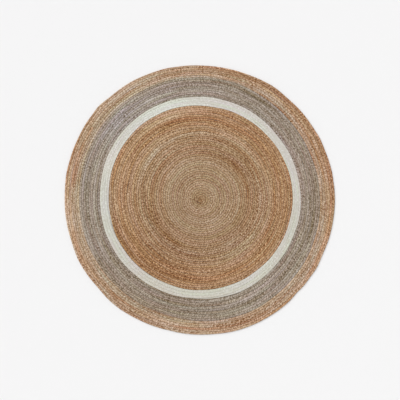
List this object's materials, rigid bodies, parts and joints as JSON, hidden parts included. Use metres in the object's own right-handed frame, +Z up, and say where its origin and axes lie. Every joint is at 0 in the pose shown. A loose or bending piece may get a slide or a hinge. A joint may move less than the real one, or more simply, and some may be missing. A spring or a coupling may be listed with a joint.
{
  "type": "round braided jute rug",
  "caption": "Flat round rug of coiled jute braid sewn edge to edge, with a natural centre, an off-white ring, a grey ring and a natural border.",
  "frame": {"origin": "on the flat underside, below the middle of the rug's bounding box", "axes": "+Z is up, out of the side that shows. +Y points to the top of the picture and +X to its right"},
  "size_m": [1.4978, 1.4918, 0.008],
  "materials": {
    "natural_jute": "plaited natural jute, golden brown with darker and lighter fibres, matt",
    "bleached_jute": "plaited bleached jute, off-white, matt",
    "grey_jute": "plaited jute dyed warm grey, mottled, matt",
    "border_jute": "plaited natural jute, a little lighter than the centre, matt"
  },
  "bodies": {
    "root": {"natural_centre_braid": "natural_jute", "off_white_ring_braid": "bleached_jute", "grey_ring_braid": "grey_jute", "natural_border_braid": "border_jute"}
  },
  "joints": []
}
